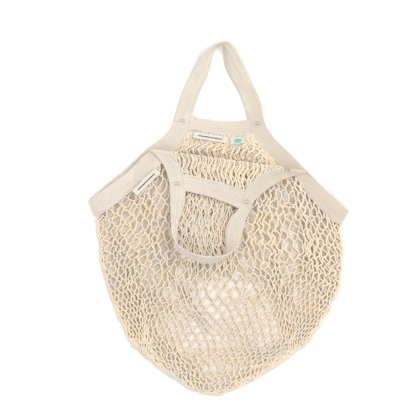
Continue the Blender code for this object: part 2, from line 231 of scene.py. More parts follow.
def tube_piece(name, strands, radius, material):
    """One object that holds a tube along every strand, each closed at both ends.

    strands is (count, points, 3) and radius (count, points) or a number. u is the length along, v the turn.
    """
    count, length, _ = strands.shape
    radius = np.broadcast_to(radius, (count, length))
    tangent = unit(np.gradient(strands, axis=1))
    start = np.cross(tangent[:, 0], [0.0, 0.0, 1.0])
    upright = np.linalg.norm(start, axis=1) < 0.1
    start[upright] = np.cross(tangent[upright, 0], [1.0, 0.0, 0.0])
    side = np.empty_like(strands)
    side[:, 0] = unit(start)
    for k in range(1, length):
        carried = side[:, k - 1] - tangent[:, k] * (side[:, k - 1] * tangent[:, k]).sum(1, keepdims=True)
        side[:, k] = unit(carried)
    turn = (np.arange(TUBE_SIDES) * TURN / TUBE_SIDES)[:, None]
    ring = side[:, :, None] * np.cos(turn) + np.cross(tangent, side)[:, :, None] * np.sin(turn)
    vertices = strands[:, :, None] + ring * radius[:, :, None, None]

    row = (np.arange(count)[:, None, None] * length + np.arange(length - 1)[None, :, None]) * TUBE_SIDES
    here = np.arange(TUBE_SIDES)
    after = (here + 1) % TUBE_SIDES
    above = row + TUBE_SIDES
    quads = np.stack([row + here, row + after, above + after, above + here], -1).reshape(-1, 4)
    caps = []
    for first in np.arange(count) * length * TUBE_SIDES:
        last = first + (length - 1) * TUBE_SIDES
        caps += [(first + here)[::-1].tolist(), (last + here).tolist()]

    steps = np.linalg.norm(np.diff(strands, axis=1), axis=2)
    along = np.concatenate([np.zeros((count, 1)), np.cumsum(steps, axis=1)], 1)
    lower, upper, left = np.broadcast_arrays(along[:, :-1, None], along[:, 1:, None], here / TUBE_SIDES)
    right = left + 1 / TUBE_SIDES
    corners = [(lower, left), (lower, right), (upper, right), (upper, left)]
    uv = np.stack([np.stack(corner, -1) for corner in corners], 3).reshape(-1, 2)
    uv = np.vstack([uv, np.zeros((len(caps) * TUBE_SIDES, 2))])
    return add_piece(name, vertices, quads.tolist() + caps, uv, material)


def solid_strip(name, vertices, coordinates, material):
    """A closed solid from rows of rings, each row one ring, with a flat face over both ends."""
    rows, count = vertices.shape[:2]
    row = np.arange(rows - 1)[:, None] * count
    here = np.arange(count)
    after = (here + 1) % count
    above = row + count
    quads = np.stack([row + here, row + after, above + after, above + here], -1).reshape(-1, 4)
    caps = [here[::-1].tolist(), ((rows - 1) * count + here).tolist()]
    uv = coordinates.reshape(-1, 2)[np.concatenate([quads.ravel(), *caps])]
    piece = add_piece(name, vertices, quads.tolist() + caps, uv, material)
    form = bmesh.new()
    form.from_mesh(piece.data)
    bmesh.ops.recalc_face_normals(form, faces=form.faces)
    form.to_mesh(piece.data)
    form.free()
    return piece


# ------ materials

class Nodes:
    """A short way to add and join shader nodes."""

    def __init__(self, name):
        self.material = bpy.data.materials.new(name)
        self.material.use_nodes = True
        self.tree = self.material.node_tree
        self.shader = self.tree.nodes["Principled BSDF"]

    def add(self, kind, **inputs):
        node = self.tree.nodes.new("ShaderNode" + kind)
        for key, value in inputs.items():
            if key.startswith("set_"):
                setattr(node, key[4:], value)
            else:
                self.put(node, key, value)
        return node

    def put(self, node, key, value):
        socket = node.inputs[int(key)] if key.isdigit() else node.inputs[key]
        if isinstance(value, bpy.types.NodeSocket):
            self.tree.links.new(value, socket)
        else:
            socket.default_value = value

    def math(self, operation, a, b=0.0):
        node = self.add("Math", set_operation=operation)
        self.put(node, "0", a)
        self.put(node, "1", b)
        return node.outputs[0]

    def total(self, *terms):
        """The sum of the terms. A pair is a socket and its weight."""
        parts = [self.math("MULTIPLY", *term) if isinstance(term, tuple) else term for term in terms]
        out = parts[0]
        for part in parts[1:]:
            out = self.math("ADD", out, part)
        return out

    def wave(self, value, rate):
        return self.math("SINE", self.math("MULTIPLY", value, rate))

    def place(self):
        return self.add("TexCoord").outputs["Object"]

    def noise(self, scale, detail):
        return self.add("TexNoise", Scale=scale, Detail=detail, Vector=self.place()).outputs["Fac"]

    def split(self, vector):
        return self.add("SeparateXYZ", Vector=vector).outputs

    def thread_uv(self):
        split = self.split(self.add("UVMap", set_uv_map="thread").outputs["UV"])
        return split["X"], split["Y"]

    def mix(self, factor, a, b):
        node = self.add("Mix", set_data_type="RGBA")
        self.put(node, "0", factor)
        for key, value in (("6", a), ("7", b)):
            self.put(node, key, (*value, 1.0) if isinstance(value, tuple) else value)
        return node.outputs[2]

    def finish(self, colour, roughness, height, depth, soft=0.4):
        bump = self.add("Bump", Height=height, Distance=depth, Strength=1.0)
        inputs = {"Base Color": colour, "Roughness": roughness, "Normal": bump.outputs["Normal"],
                  "Specular IOR Level": 0.25, "Sheen Weight": 0.35, "Sheen Roughness": 0.6,
                  "Subsurface Weight": soft, "Subsurface Radius": (1.0, 0.72, 0.48),
                  "Subsurface Scale": 1.4 * MM}
        for key, value in inputs.items():
            self.put(self.shader, key, value)
        return self.material


def yarn_material(name, upper, lower):
    """Undyed cotton yarn: two plies twisted together, fine fibres and a little colour change along it.

    It takes its upper colour, the lit one, where it faces up or lies high, and its lower one, a painted warm
    shade, elsewhere; the hollows between its plies are painted a little deeper, as shade.
    """
    nodes = Nodes(name)
    along, around = nodes.thread_uv()
    ply = nodes.math("SINE", nodes.total((along, TURN / YARN_TWIST), (around, 2 * TURN)))
    fibres = nodes.noise(2600.0, 3.0)
    patches = nodes.total(nodes.noise(60.0, 2.0), nodes.noise(22.0, 1.0), -0.5)
    # Painted light and shade: faces turned up and yarn that lies high get the lit colour, the rest the
    # painted shade.
    facing = nodes.split(nodes.add("NewGeometry").outputs["Normal"])["Z"]
    level = nodes.math("MINIMUM", nodes.split(nodes.place())["Z"], 8 * MM)
    # This tone mixes random patches with painted shade between the plies, on faces turned down and low in the
    # net.
    tone_and_shade = nodes.total((ply, -0.12), (patches, 1.1), (facing, -0.60), (level, -36.0), 0.60)
    roughness = nodes.total((fibres, 0.15), 0.8)
    height = nodes.total((ply, 0.5), (fibres, 0.9))
    return nodes.finish(nodes.mix(tone_and_shade, upper, lower), roughness, height, 0.35 * MM, soft=0.0)


def knit_material(name, light, deep_and_shade, wale, course):
    """Fine jersey: lengthwise columns of small V-shaped stitches. u runs along the tape, v across, in metres.

    Towards the right it is painted deeper in colour, as shade; its rib and stitch crests are painted lighter
    and its grooves deeper, as painted light and shade.
    """
    nodes = Nodes(name)
    along, across = nodes.thread_uv()
    inside = nodes.math("FRACT", nodes.math("MULTIPLY", across, 1 / wale))
    arm = nodes.math("ABSOLUTE", nodes.math("SUBTRACT", inside, 0.5))
    stitch = nodes.wave(nodes.total((along, 1 / course), (arm, 0.6)), TURN)
    rib = nodes.wave(inside, math.pi)
    groove = nodes.math("ABSOLUTE", nodes.wave(across, math.pi / GROOVE))
    groove = nodes.math("POWER", nodes.math("SUBTRACT", 1.0, groove), 3.0)
    fibres = nodes.noise(2200.0, 4.0)
    patches = nodes.noise(45.0, 3.0)
    # Painted shade: the tape gets deeper in colour towards the right.
    painted_right_shade = nodes.math("MULTIPLY", nodes.total(nodes.split(nodes.place())["X"], -15 * MM), 10.0)
    painted_right_shade = nodes.math("MINIMUM", nodes.math("MAXIMUM", painted_right_shade, -0.1), 1.1)
    height = nodes.total((stitch, 0.25), (rib, 0.6), (fibres, 0.6), (groove, -0.9))
    # This tone mixes random patches and fibres with painted light and shade: lighter rib and stitch crests,
    # deeper grooves and a deeper right side.
    tone_and_shade = nodes.total((patches, 0.9), (rib, -0.4), (groove, 0.32), painted_right_shade, (stitch, -0.10), (fibres, 0.8))
    return nodes.finish(nodes.mix(tone_and_shade, light, deep_and_shade), 0.9, height, 0.30 * MM)


def label_material(name, cloth, mark, block):
    """Fine woven cloth with one plain mark: a block from block[0] to block[1] in u and [2] to [3] in v."""
    nodes = Nodes(name)
    u, v = nodes.thread_uv()

    def within(value, low, high):
        off = nodes.math("ABSOLUTE", nodes.math("SUBTRACT", value, (low + high) / 2))
        return nodes.math("LESS_THAN", off, (high - low) / 2)

    weave = nodes.math("MULTIPLY", nodes.wave(u, 420.0), nodes.wave(v, 95.0))
    fibres = nodes.noise(1500.0, 3.0)
    plain = nodes.mix(nodes.total((weave, 0.12), (fibres, 0.5)), cloth, tuple(c * 0.86 for c in cloth))
    marked = nodes.math("MULTIPLY", within(u, *block[:2]), within(v, *block[2:]))
    roughness = nodes.total((fibres, 0.2), 0.6)
    height = nodes.total(weave, fibres)
    return nodes.finish(nodes.mix(marked, plain, mark), roughness, height, 0.05 * MM)


# The tape's light tone, then a deep one used for random patches and for painted shade.
KNIT = knit_material("cotton_jersey", (0.79, 0.735, 0.66), (0.63, 0.55, 0.455), 1.5 * MM, 1.6 * MM)
# Each yarn's lit colour, then the warm painted shade it takes where it faces down or lies low.
COTTON = yarn_material("cotton_yarn", (0.755, 0.70, 0.607), (0.93, 0.755, 0.535))
SEWING = yarn_material("sewing_thread", (0.84, 0.78, 0.69), (0.76, 0.68, 0.57))
TACKING = yarn_material("tacking_thread", (0.90, 0.84, 0.75), (0.90, 0.82, 0.70))
LABEL = label_material("label_satin", (0.74, 0.70, 0.62), (0.10, 0.10, 0.10), (0.14, 0.86, 0.42, 0.58))
TAG = label_material("tag_satin", (0.66, 0.68, 0.67), (0.19, 0.55, 0.29), (0.30, 0.78, 0.28, 0.80))


# ------ outlines, millimetres in the frame

BACK = TAPE / 2 / MM
CURL = FOLD[2] / MM
UNDER, OVER = CURL - 1.15, CURL + 1.15


def fold_row(outer, inner, out, height):
    """A row in the fold's curl: x of both edges, how far out past the axis they lie, and their height."""
    return outer, fold_y(outer * MM) / MM + out, inner, fold_y(inner * MM) / MM + out, height


# Every row is a tape's outer edge (x, y), its inner edge (x, y) and their height. A sixth number is the inner
# edge's own height. The tape starts at the left front shoulder, and each length ends where the next starts.
LEFT_TAPE = [
    (-60.2, 42, -40.4, 40, OVER),
    (-61.5, 50, -42.2, 52, OVER),
    (-66, 61.5, -46.6, 62, OVER),
    (-74.5, 73.5, -52.5, 70.5, OVER),
    fold_row(-81.5, -56.5, -1.5, OVER),
    fold_row(-83, -57.5, 0.8, CURL),
    fold_row(-83.5, -58.5, -1.5, UNDER),
    (-92.5, 72, -73, 60, UNDER - 0.2),
    (-109, 55.5, -97.5, 37.5, 9),
    (-133, 37.5, -124, 16, 7.4),
    (-149, 26.5, -140, 5, 6.2),
    (-155, 22.5, -146.5, 1.5, 3.6),
    (-149, 28, -140, 6, BACK),
    (-134, 41, -124, 18.5, BACK),
    (-111.5, 59.5, -99, 38.5, BACK),
    (-84, 84.5, -63.5, 68, BACK),
    (-67, 97.5, -46.5, 86, BACK),
    (-57.5, 109, -35.2, 103, BACK),
    (-55, 116, -33.6, 112, BACK),
]
BACK_LOOP = [
    LEFT_TAPE[-1],
    (-52.6, 124.5, -32, 123.5, BACK),
    (-47.4, 140.5, -26.5, 141.5, BACK),
    (-41.5, 157.5, -19.8, 157.8, 1.4, BACK),
    (-32.5, 174, -12.8, 173.4, 3.2, BACK),
    (-21.5, 191.5, -9, 188.5, 9.5, BACK),
    (-10.5, 204, -6, 201, 18, 1.4),
    (4, 211, 2.5, 208.5, 19.5, 1.8),
    (15.5, 207.5, 5.5, 199.5, 17, 1.4),
    (26, 190.5, 7, 184, 8, BACK),
    (35, 172.5, 13.8, 168.5, 3.5, BACK),
    (44.5, 152.5, 24, 150, 1.4, BACK),
    (51, 137.4, 31, 134, BACK),
    (53.5, 121, 34.2, 121, BACK),
    (55.8, 113, 36.4, 110, BACK),
]
RIGHT_TAPE = [
    BACK_LOOP[-1],
    (58.5, 107, 39, 99, BACK),
    (68.5, 93.5, 50.5, 84.5, BACK),
    (84, 79, 67, 67, BACK),
    (107.5, 54.5, 91, 43, BACK),
    (123.5, 38, 111, 22, BACK),
    (149, 15, 137, -4, BACK),
    (156.5, 8.5, 145.5, -9.5, 3.6),
    (149, 14, 137, -4.5, 6.2),
    (137.5, 23, 126.5, 4.8, 7.4),
    (121.5, 38, 110.5, 22.5, 9),
    (110.5, 47.5, 97.5, 39.5, UNDER - 0.2),
    fold_row(103.5, 87, -1.5, UNDER),
    fold_row(103, 85.5, 0.8, CURL),
    fold_row(101, 83.5, -1.5, OVER),
    (78, 45.5, 63, 57, OVER),
    (59.4, 34.5, 46, 48.5, OVER),
    (44.5, 22, 31.2, 34, OVER),
    (40.5, 15.5, 27.4, 25, OVER),
]
FRONT_LOOP = [
    RIGHT_TAPE[-1],
    (36.5, 6, 22.6, 10, OVER),
    (32, -4, 14, 0, OVER),
    (28.2, -17, 7.2, -17, OVER + 3, OVER),
    (23.5, -33, 8.5, -36, OVER + 9, OVER),
    (11, -43.5, 5, -50, OVER + 16, OVER),
    (-10, -46, -11, -55, OVER + 17, OVER),
    (-31, -43, -34, -50, OVER + 17, OVER),
    (-46.5, -35, -49, -39, OVER + 15, OVER),
    (-55, -22, -50, -21, OVER + 11, OVER),
    (-57.5, -5, -47.6, -5.5, OVER + 4, OVER),
    (-58.3, 14, -42.6, 11, OVER + 0.3, OVER),
    (-59, 35, -40, 29, OVER),
    LEFT_TAPE[0],
]
BACK_BAND = [
    (-36, 122.3, -37, 105.6, BACK),
    (-15, 118.4, -12, 101.2, BACK),
    (10, 115.8, 11, 97.6, BACK),
    (38, 118, 41, 99.4, BACK),
]
FRONT_BAND = [
    (-44, 52.4, -42, 32.2, OVER),
    (-22, 48.2, -18, 26.6, OVER),
    (3, 41.6, 2.5, 20, OVER),
    (33, 32.6, 25, 10.6, OVER),
]

# The sides of the net, upwards.
LEFT_SIDE = [(-102.5, -148), (-116.5, -117), (-132, -75), (-140, -30), (-143, -1)]
RIGHT_SIDE = [(101, -150), (120, -124), (140, -84), (144.5, -44), (141.5, -11)]

# The net's top ends lie inside the tapes, so these lines run a little inside the tapes' edges.
FRONT_TOP_LEFT = [(-143, -1, 3.6), (-120, 21, 7.2), (-104.5, 33.5, 8.6), (-76, 60, 10.6), (-60, 73, 10.8)]
FRONT_TOP_RIGHT = [(88, 51, 10.8), (99, 40.5, 10.5), (111.5, 23.5, 8.8), (127.5, 5, 7.2), (141.5, -11, 3.6)]
BACK_TOP_LEFT = [(-143, -1, 2.6), (-120, 20.5, 1.2), (-104.5, 33, 1), (-74.5, 59, 1), (-60, 73, 1.2)]
BACK_TOP_RIGHT = [(88, 51, 1.2), (92, 43.5, 1), (111, 23, 1), (127, 4, 1.2), (141.5, -11, 2.6)]
FLAP_FOOT = [(-60, 71), (-48, 60), (-43, 50), (-22, 45), (3, 38.5), (30.5, 31),
             (47.5, 48), (64, 56.5), (90, 56)]

# The back layer between the fold and the back band.
MOUTH_LEFT = [(-76, 46, 1.4), (-62, 68, 1.2), (-38, 103, 1)]
MOUTH_RIGHT = [(99, 33, 1.4), (76, 60, 1.2), (54, 84, 1.1), (40, 101, 1)]
MOUTH_LOW = [(-76, 46, 1.4), (-20, 50, 1.4), (40, 44, 1.4), (99, 33, 1.4)]
MOUTH_TOP = [(-38, 103, 1), (-12, 103.2, 1), (11, 100, 1), (40, 101, 1)]
BUNCH_TOP = MOUTH_TOP + [(52, 87, 1), (64, 72, 1)]

# Places where the net is gathered (or, below zero, opened out): centre, reach, share across, share along.
GATHERS = [((-12, -14), 40, 0.30, -0.10), ((0, -128), 75, -0.42, 0.14),
           ((104, -100), 28, -0.30, -0.1), ((2, -136), 20, 0.10, 0.35),
           ((52, -70), 26, 0.25, 0)]
# Creases of the net: two ends, reach, share pulled in, rise.
CREASES = [
    ((-66, -50), (-16, -130), 12, 0.60, 3.2), ((66, -30), (80, -145), 17, 0.50, 3),
    ((-88, 20), (-72, -52), 16, 0.35, 2.6), ((-126, -20), (-104, -105), 12, 0.45, 1.8),
    ((104, 0), (112, -60), 14, 0.30, 2.4), ((-60, -52), (10, -60), 11, 0.35, 1.6),
    ((-84, -135), (-30, -192), 11, 0.40, 1), ((-48, 40), (-52, -20), 10, 0.40, 1.5)]
# Where the net lies spread flat: centre, and reach across and along.
SPREAD = [(-5, -125, 85, 70), (95, -130, 28, 50), (0, 5, 30, 30)]


def edges(sections):
    """The outer and the inner edge line of a tape, in metres."""
    outer = [(x, y, heights[0]) for x, y, _, _, *heights in sections]
    inner = [(x, y, heights[-1]) for _, _, x, y, *heights in sections]
    return metres(outer), metres(inner)


# ------ how pieces follow the bodies


def attach(piece, motion, nodes=()):
    """Let a piece move with one body, or, for a joint, leave it unparented with its place baked into its
    mesh, and stand for CAD nodes.
    """
    if motion in JOINTS:
        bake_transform(piece)
    else:
        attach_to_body(piece, motion)
    if nodes:
        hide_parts(*nodes)


# ------ tapes

def tape_frame(sections, along):
    """Centre, half width vector and normal of a tape at each along (0 to 1)."""
    outer, inner = edges(sections)
    step = 0.002
    out_line, in_line = spline(outer, along), spline(inner, along)
    ahead = spline(outer, along + step) + spline(inner, along + step)
    behind = spline(outer, along - step) + spline(inner, along - step)
    half = (out_line - in_line) / 2
    return (out_line + in_line) / 2, half, unit(np.cross(half, ahead - behind))


def add_tape(name, sections, seed, ridges, creases, folded):
    """A knitted tape with rounded edges between its two edge lines.

    ridges is the height of its soft lengthwise ridges. creases are dents in the whole tape: distance along,
    place across, length, width and depth. All are in millimetres. A folded tape runs back over itself.
    """
    length = distances(tape_frame(sections, np.linspace(0, 1, 500))[0])[-1]
    centre, half, normal = tape_frame(sections, np.linspace(0, 1, int(length / TAPE_ROW) + 1))
    position = distances(centre)
    profile = np.linspace(-1, 1, TAPE_COLUMNS + 1)
    across = np.concatenate([profile, profile[::-1]])
    side = np.repeat([1.0, -1.0], TAPE_COLUMNS + 1)
    along = np.repeat(position[:, None], len(across), axis=1)
    distance = across[None, :] * np.linalg.norm(half, axis=1)[:, None]

    def waves(sideways, size, step):
        spots = np.stack([along.ravel(), sideways.ravel()], 1)
        return smooth_noise(spots, size, seed + step).reshape(along.shape)

    calm = np.clip(np.minimum(position, length - position) / CALM, 0, 1)[:, None]
    rounding = np.sqrt(np.clip(1 - np.abs(across) ** 8, 0, 1))[None, :]
    thickness = TAPE / 2 * (TAPE_RIM + (TAPE_BODY - TAPE_RIM) * rounding)
    rib = ridges * MM * np.cos(TURN * distance / RIDGE_PITCH) * rounding
    lift = side * thickness + calm * (TAPE_WAVE * waves(distance * 1.6, TAPE_WAVE_SIZE, 0) + rib)
    for place, where, reach, width, depth in metres(creases):
        dent = ((along - place) / reach) ** 2 + ((distance - where) / width) ** 2
        lift = lift - depth * np.exp(-dent)
    spread = across * (1 + TAPE_PULL * calm * waves(np.sign(distance) * APART, TAPE_PULL_SIZE, 2))
    vertices = centre[:, None] + half[:, None] * spread[..., None] + normal[:, None] * lift[..., None]
    vertices[..., 2] += TAPE_SWAY * calm * waves(distance * 0, TAPE_SWAY_SIZE, 1)
    vertices[..., 2] = np.maximum(vertices[..., 2], 0.05 * MM)
    if folded:
        part_runs(vertices, centre[:, None, 2])
    return solid_strip(name, vertices, np.stack([along, distance + APART], -1), KNIT)


def part_runs(points, middle, radius=0.0):
    """Keep the two runs of a folded tape apart, each on its own side of the fold's height."""
    run = np.sign(middle - FOLD[2])
    clear = FOLD[2] + run * np.maximum(run * (points[..., 2] - FOLD[2]), FOLD_CLEAR + radius)
    points[..., 2] = np.where(np.abs(middle - FOLD[2]) > 4 * FOLD_CLEAR, clear, points[..., 2])


def stitch_row(sections, across, margin, folded):
    """Small stitches along a tape's upper face, each a short thread that dips into the tape at both ends."""
    probe = np.linspace(margin, 1 - margin, 300)
    centre, half, _ = tape_frame(sections, probe)
    steps = distances(centre + half * across)
    strands = []
    for k in range(int(steps[-1] / STITCH)):
        spots = np.interp((k + STITCH_PLACES) * STITCH, steps, probe)
        point, width, normal = tape_frame(sections, spots)
        upward = normal * np.sign(normal[:, 2:])
        strand = point + width * across + upward * (TAPE / 2 * 0.86 + STITCH_LIFTS)[:, None]
        if folded:
            if np.abs(point[:, 2] - FOLD[2]).min() < 5 * FOLD_CLEAR:
                continue
            part_runs(strand, point[:, 2], THREAD)
        strands.append(strand)
    return np.array(strands)


def build_tapes():
    """The long edging tape in four lengths, the two mouth bands, and their stitches."""
    back_creases = [(118, 1, 9, 1.6, 1.6), (152, 4, 14, 1.5, 1.4), (137, -4, 10, 1.6, 0.9)]
    tapes = [
        ("left_edging", LEFT_TAPE, 11, 0.05, (), -0.8, 0.0, "front_flap_fold",
         ["left_side_binding", "front_left_shoulder"],
         ["left_binding_stitch", "front_left_shoulder_stitch"]),
        ("right_edging", RIGHT_TAPE, 23, 0.05, (), -0.8, 0.0, "front_flap_fold",
         ["right_side_binding", "front_right_shoulder"],
         ["right_binding_stitch", "front_right_shoulder_stitch"]),
        ("back_handle", BACK_LOOP, 37, 0.16, back_creases, -0.8, 0.0, "back_handle_swing",
         ["back_handle"], ["back_handle_stitch"]),
        ("front_handle", FRONT_LOOP, 41, 0.12, (), -0.8, 0.0, "front_handle_swing",
         ["front_handle"], ["front_handle_stitch"]),
        ("back_mouth", BACK_BAND, 53, 0.0, (), -0.8, 0.06, "bag", ["back_mouth_band"], ["back_band_stitch"]),
        ("front_mouth", FRONT_BAND, 67, 0.0, (), 0.8, 0.06, "front_flap",
         ["front_mouth_band"], ["front_band_stitch"]),
    ]
    for name, sections, seed, ridges, creases, across, margin, motion, tape_nodes, stitch_nodes in tapes:
        folded = motion == "front_flap_fold"
        tape = add_tape(name + "_tape", sections, seed, ridges, creases, folded)
        attach(tape, motion, tape_nodes)
        strands = stitch_row(sections, across, margin, folded)
        attach(tube_piece(name + "_stitches", strands, THREAD, SEWING), motion, stitch_nodes)


def build_tacks():
    """Dense zigzag tacks where the handles meet the bands."""
    t = np.linspace(0, 1, TACK_TURNS * 4 + 1)
    swing = np.abs((t * TACK_TURNS) % 1 - 0.5) * 2
    bodies = {"back_left_tack": "bag", "back_right_tack": "bag",
              "front_left_tack": "front_flap", "front_right_tack": "front_flap"}
    for node, body in bodies.items():
        low, high = (np.array(corner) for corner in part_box(node))
        place = np.stack([t, 0.1 + 0.8 * swing, 0 * t], 1)
        line = low + (high - low) * place + np.array([0, 0, THREAD * 0.1])
        attach(tube_piece(node + "_thread", line[None], THREAD, TACKING), body, [node])


# ------ the net

def relax(knots, legs, bows, held, rest):
    """Settle a net in plan, in place: legs keep their length, so slack ones buckle."""
    count = len(knots)
    points = np.vstack([knots[:, :2], bows[:, :, :2].reshape(-1, 2)])
    inner = count + np.arange(len(legs) * 3).reshape(-1, 3)
    chain = np.concatenate([legs[:, :1], inner, legs[:, 1:]], axis=1)
    weight = np.ones(len(points))
    weight[:count][held] = 0.0
    first, second = chain[:, :-1].ravel(), chain[:, 1:].ravel()
    before, after = chain[:, :-2].ravel(), chain[:, 2:].ravel()
    share = EASE / np.maximum(np.bincount(np.concatenate([first, second]), minlength=len(points)), 1)
    home = points.copy()

    def keep(a, b, wanted, strength, only_short):
        gap = points[b] - points[a]
        size = np.maximum(np.linalg.norm(gap, axis=1), 1e-9)
        error = (size - wanted) / size
        if only_short:
            error = np.minimum(error, 0)
        move = gap * (error * strength / np.maximum(weight[a] + weight[b], 1e-9))[:, None]
        for axis in range(2):
            change = (np.bincount(a, move[:, axis] * weight[a], len(points))
                      - np.bincount(b, move[:, axis] * weight[b], len(points)))
            points[:, axis] += change * share

    for _ in range(RELAX_ROUNDS):
        keep(first, second, np.repeat(rest / 4, 4), 1.0, False)
        keep(before, after, np.repeat(rest * BEND_LENGTH, 3), STIFFNESS, True)
        points[:count] += (home[:count] - points[:count]) * HOLD * weight[:count, None]
    knots[:, :2] = points[:count]
    bows[:, :, :2] = points[inner]


def coons(bottom, top, left, right, u, v):
    """A patch between four edge lines, each a function of 0 to 1. left and right run upwards."""
    ends = np.array([0.0, 1.0])
    low_left, low_right = bottom(ends)
    high_left, high_right = top(ends)
    uu, vv = u[:, None], v[:, None]
    flat = ((1 - uu) * (1 - vv) * low_left + uu * (1 - vv) * low_right
            + (1 - uu) * vv * high_left + uu * vv * high_right)
    return (1 - vv) * bottom(u) + vv * top(u) + (1 - uu) * left(v) + uu * right(v) - flat


def lattice(columns, rows):
    """Knots of a staggered net with their place (u, v), and the legs from each row to the next one up."""
    index, place, legs = {}, [], []
    for row in range(rows + 1):
        odd = row % 2
        for column in range(columns + 1 - odd):
            index[row, column] = len(place)
            place.append(((column + 0.5 * odd) / columns, row / rows))
    for row in range(rows):
        odd = row % 2
        for column in range(columns + 1 - odd):
            for other in (column - 1 + odd, column + odd):
                if (row + 1, other) in index:
                    legs.append((index[row, column], index[row + 1, other]))
    return np.array(place), np.array(legs)


def bow_points(knots, legs, seed, amount):
    """Three inner points for every leg, near a straight line and pushed a little to one side."""
    rng = np.random.default_rng(seed)
    a, b = knots[legs[:, 0]], knots[legs[:, 1]]
    side = unit(np.cross(b - a, [0.0, 0.0, 1.0]))
    push = (rng.normal(0, 1, (len(legs), 1)) + rng.normal(0, 0.5, (len(legs), 3))) * amount[:, None]
    spots = np.array([0.25, 0.5, 0.75])[None, :, None]
    return a[:, None] * (1 - spots) + b[:, None] * spots + side[:, None] * push[:, :, None]


def leg_strands(knots, legs, bows, stand, seed):
    """Yarn lines for legs. They leave each knot along the net's length, bow out between and curl a little."""
    rng = np.random.default_rng(seed)
    a, b = knots[legs[:, 0]], knots[legs[:, 1]]
    share = 0.14 + 0.11 * slackness((a + b) / 2)
    reach = np.minimum(np.linalg.norm(b - a, axis=1) * share, 2.4 * MM)[:, None]
    control = np.stack([a, a + stand[legs[:, 0]] * reach, bows[:, 0], bows[:, 1], bows[:, 2],
                        b - stand[legs[:, 1]] * reach, b], axis=1)
    control[:, 1:-1, 2] += rng.normal(0, LEG_LIFT, (len(legs), 1)) + rng.normal(0, POINT_LIFT, (len(legs), 5))
    t = np.linspace(0, 1, LEG_POINTS)
    lines = spline(control, t)
    turns = rng.uniform(*CURL_TURNS, (len(legs), 1))
    phase = rng.uniform(0, TURN, (len(legs), 1))
    size = rng.uniform(*CURL_SIZE, (len(legs), 1)) * MM * np.sin(math.pi * t) ** 0.7
    curl = TURN * turns * t + phase
    side = unit(np.cross(b - a, [0.0, 0.0, 1.0]))
    lines += side[:, None] * (size * np.sin(curl))[..., None]
    lines[..., 2] += size * np.cos(curl)
    for _ in range(SOFTENING):
        lines[:, 1:-1] = (lines[:, :-2] + 2 * lines[:, 1:-1] + lines[:, 2:]) / 4
    return lines


def yarn_radius():
    """The yarn's radius along a leg, thicker at both ends where the legs are knotted together."""
    t = np.linspace(0, 1, LEG_POINTS)
    return YARN * (1 + KNOT_SWELL * (np.exp(-(t / KNOT_REACH) ** 2) + np.exp(-((1 - t) / KNOT_REACH) ** 2)))


def outline(height):
    """Left side, bottom and right side of the net, as functions of 0 to 1; the sides run upwards.

    The sides run on a little way round the bottom, so the net's columns close in towards its base.
    """
    t = np.linspace(0, 1, BASE_POINTS)
    start, end = np.array(LEFT_SIDE[0]), np.array(RIGHT_SIDE[0])
    base = start + (end - start) * t[:, None]
    side = np.where(t < BOTTOM_AT, 1 - t / BOTTOM_AT, (t - BOTTOM_AT) / (1 - BOTTOM_AT))
    base[:, 1] -= BOTTOM_SAG * (1 - side ** BOTTOM_POINT)
    whole = np.vstack([np.array(LEFT_SIDE)[:0:-1], base, np.array(RIGHT_SIDE)[1:]])
    whole = np.column_stack([whole, np.full(len(whole), height)])
    whole += outwards(whole) * RIM_GAP
    first = len(LEFT_SIDE) - 1 + BASE_TURN
    last = len(whole) - len(RIGHT_SIDE) - BASE_TURN
    return line_of(whole[first::-1]), line_of(whole[first:last + 1]), line_of(whole[last:])


def outwards(line):
    """The level direction to the right of a line at each of its points."""
    run = unit(np.gradient(line, axis=0))
    return np.column_stack([run[:, 1], -run[:, 0], np.zeros(len(run))])


def crease(knots, first, last, reach, pull, rise):
    """How far a crease moves each knot: in towards its line, and up."""
    a, b = metres(first), metres(last)
    along = b - a
    share = ((knots[:, :2] - a) @ along) / (along @ along)
    nearest = a + np.clip(share, 0, 1)[:, None] * along
    offset = knots[:, :2] - nearest
    fall = np.exp(-(np.linalg.norm(offset, axis=1) / (reach * MM)) ** 2)
    return np.column_stack([-offset * (fall * pull)[:, None], rise * MM * fall])


def disturb(knots, seed):
    """Shift the knots of a layer: gathered places, creases, slow and short waves and a little scatter."""
    moved = knots.copy()
    for centre, reach, across, along in GATHERS:
        offset = knots[:, :2] - metres(centre)
        fall = np.exp(-(np.linalg.norm(offset, axis=1) / (reach * MM)) ** 2)
        moved[:, :2] -= offset * fall[:, None] * np.array([across, along])
    for size, reach, step in DRIFTS:
        for axis in range(2):
            moved[:, axis] += smooth_noise(knots, size * MM, DRIFT_SEED + step + axis) * reach * MM
    for numbers in CREASES:
        moved += crease(moved, *numbers)
    moved[:, :2] += np.random.default_rng(seed + 9).normal(0, SCATTER, (len(knots), 2))
    return moved


def slackness(points):
    """How loose the net lies at each point: 0 where it is spread flat, 1 where it is bunched."""
    fall = np.zeros(len(points))
    for x, y, reach_x, reach_y in SPREAD:
        fall += np.exp(-((points[:, 0] / MM - x) / reach_x) ** 2 - ((points[:, 1] / MM - y) / reach_y) ** 2)
    return np.clip(1.1 - 1.1 * fall, 0.05, 1)


